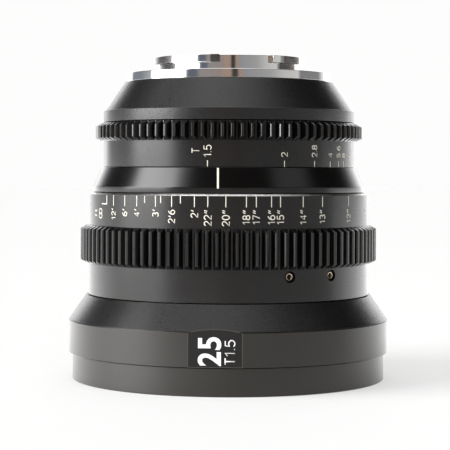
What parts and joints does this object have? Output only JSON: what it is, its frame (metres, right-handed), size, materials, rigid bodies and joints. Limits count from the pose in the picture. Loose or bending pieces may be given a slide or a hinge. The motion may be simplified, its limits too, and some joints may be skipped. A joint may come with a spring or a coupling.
{
  "type": "cinema prime lens",
  "caption": "Cinema prime lens standing on its front rim: toothed focus and iris rings, working iris blades, sliding front group, polished bayonet mount and a filter-thread front ring",
  "frame": {"origin": "centre of the front rim's plane, on the optical axis; the lens stands on it", "axes": "+Z along the optical axis from the front rim to the bayonet mount, -Y towards the index line, +X to the right when the index line faces the viewer"},
  "size_m": [0.0869, 0.0867, 0.087],
  "materials": {
    "black_anodised": "satin black anodised, fine bead-blasted grain",
    "matt_black": "matt black anodised or flocked inner surface",
    "bright_steel": "polished stainless steel",
    "screw_steel": "plain steel screw heads",
    "brass": "turned brass",
    "cam_aluminium": "greased natural aluminium",
    "blade_steel": "thin spring steel with a matt black dry coating",
    "coated_glass": "multi-coated optical glass, green and violet reflections"
  },
  "bodies": {
    "root": {"front_ring": "black_anodised", "front_baffle": "matt_black", "front_housing": "black_anodised", "housing_screws": "screw_steel", "main_barrel": "matt_black", "index_ring": "black_anodised", "iris_base": "matt_black", "iris_lock_ring": "matt_black", "rear_cell": "matt_black", "fourth_element": "coated_glass", "rear_spacer": "matt_black", "rear_element": "coated_glass", "rear_retainer": "matt_black", "rear_lock_ring": "matt_black", "rear_housing": "black_anodised", "bayonet_mount": "bright_steel", "mount_screws": "screw_steel", "mount_baffle": "matt_black"},
    "focus_ring": {"focus_ring": "black_anodised", "focus_sleeve": "cam_aluminium", "focus_set_screws": "screw_steel"},
    "front_cell": {"front_cell": "matt_black", "front_retainer": "matt_black", "front_element": "coated_glass", "front_spacer": "matt_black", "second_element": "coated_glass", "middle_spacer": "matt_black", "third_element": "coated_glass", "cell_retainer": "matt_black", "follower_pins": "screw_steel", "follower_rollers": "brass"},
    "iris_ring": {"iris_ring": "black_anodised", "iris_cam_ring": "cam_aluminium", "iris_keys": "screw_steel"},
    "iris_blade_1": {"iris_blade_1": "blade_steel"},
    "iris_blade_2": {"iris_blade_2": "blade_steel"},
    "iris_blade_3": {"iris_blade_3": "blade_steel"},
    "iris_blade_4": {"iris_blade_4": "blade_steel"},
    "iris_blade_5": {"iris_blade_5": "blade_steel"},
    "iris_blade_6": {"iris_blade_6": "blade_steel"},
    "iris_blade_7": {"iris_blade_7": "blade_steel"},
    "iris_blade_8": {"iris_blade_8": "blade_steel"},
    "iris_blade_9": {"iris_blade_9": "blade_steel"},
    "iris_blade_10": {"iris_blade_10": "blade_steel"}
  },
  "joints": [
    {"name": "focus_turn", "type": "hinge", "parent": "root", "child": "focus_ring", "pos_m": [0, 0, 0.037], "axis": [0, 0, 1], "range_deg": [-98.9, 52.1]},
    {"name": "front_group_slide", "type": "slide", "parent": "root", "child": "front_cell", "axis": [0, 0, 1], "range_m": [-0.00205, 0.00109]},
    {"name": "iris_turn", "type": "hinge", "parent": "root", "child": "iris_ring", "pos_m": [0, 0, 0.063], "axis": [0, 0, 1], "range_deg": [-76, 4.5]},
    {"name": "iris_blade_1_swing", "type": "hinge", "parent": "root", "child": "iris_blade_1", "pos_m": [0.0174, 0, 0.058], "axis": [0, 0, 1], "range_deg": [-33.3, 2.1]},
    {"name": "iris_blade_2_swing", "type": "hinge", "parent": "root", "child": "iris_blade_2", "pos_m": [0.01408, 0.01023, 0.058], "axis": [0, 0, 1], "range_deg": [-33.3, 2.1]},
    {"name": "iris_blade_3_swing", "type": "hinge", "parent": "root", "child": "iris_blade_3", "pos_m": [0.00538, 0.01655, 0.058], "axis": [0, 0, 1], "range_deg": [-33.3, 2.1]},
    {"name": "iris_blade_4_swing", "type": "hinge", "parent": "root", "child": "iris_blade_4", "pos_m": [-0.00538, 0.01655, 0.058], "axis": [0, 0, 1], "range_deg": [-33.3, 2.1]},
    {"name": "iris_blade_5_swing", "type": "hinge", "parent": "root", "child": "iris_blade_5", "pos_m": [-0.01408, 0.01023, 0.058], "axis": [0, 0, 1], "range_deg": [-33.3, 2.1]},
    {"name": "iris_blade_6_swing", "type": "hinge", "parent": "root", "child": "iris_blade_6", "pos_m": [-0.0174, 0, 0.058], "axis": [0, 0, 1], "range_deg": [-33.3, 2.1]},
    {"name": "iris_blade_7_swing", "type": "hinge", "parent": "root", "child": "iris_blade_7", "pos_m": [-0.01408, -0.01023, 0.058], "axis": [0, 0, 1], "range_deg": [-33.3, 2.1]},
    {"name": "iris_blade_8_swing", "type": "hinge", "parent": "root", "child": "iris_blade_8", "pos_m": [-0.00538, -0.01655, 0.058], "axis": [0, 0, 1], "range_deg": [-33.3, 2.1]},
    {"name": "iris_blade_9_swing", "type": "hinge", "parent": "root", "child": "iris_blade_9", "pos_m": [0.00538, -0.01655, 0.058], "axis": [0, 0, 1], "range_deg": [-33.3, 2.1]},
    {"name": "iris_blade_10_swing", "type": "hinge", "parent": "root", "child": "iris_blade_10", "pos_m": [0.01408, -0.01023, 0.058], "axis": [0, 0, 1], "range_deg": [-33.3, 2.1]}
  ],
  "couplings": [
    {"joint": "front_group_slide", "follows": "focus_turn", "m_per_rad": 0.0011777},
    {"joint": "iris_blade_1_swing", "follows": "iris_turn", "ratio": 0.436},
    {"joint": "iris_blade_2_swing", "follows": "iris_turn", "ratio": 0.436},
    {"joint": "iris_blade_3_swing", "follows": "iris_turn", "ratio": 0.436},
    {"joint": "iris_blade_4_swing", "follows": "iris_turn", "ratio": 0.436},
    {"joint": "iris_blade_5_swing", "follows": "iris_turn", "ratio": 0.436},
    {"joint": "iris_blade_6_swing", "follows": "iris_turn", "ratio": 0.436},
    {"joint": "iris_blade_7_swing", "follows": "iris_turn", "ratio": 0.436},
    {"joint": "iris_blade_8_swing", "follows": "iris_turn", "ratio": 0.436},
    {"joint": "iris_blade_9_swing", "follows": "iris_turn", "ratio": 0.436},
    {"joint": "iris_blade_10_swing", "follows": "iris_turn", "ratio": 0.436}
  ]
}
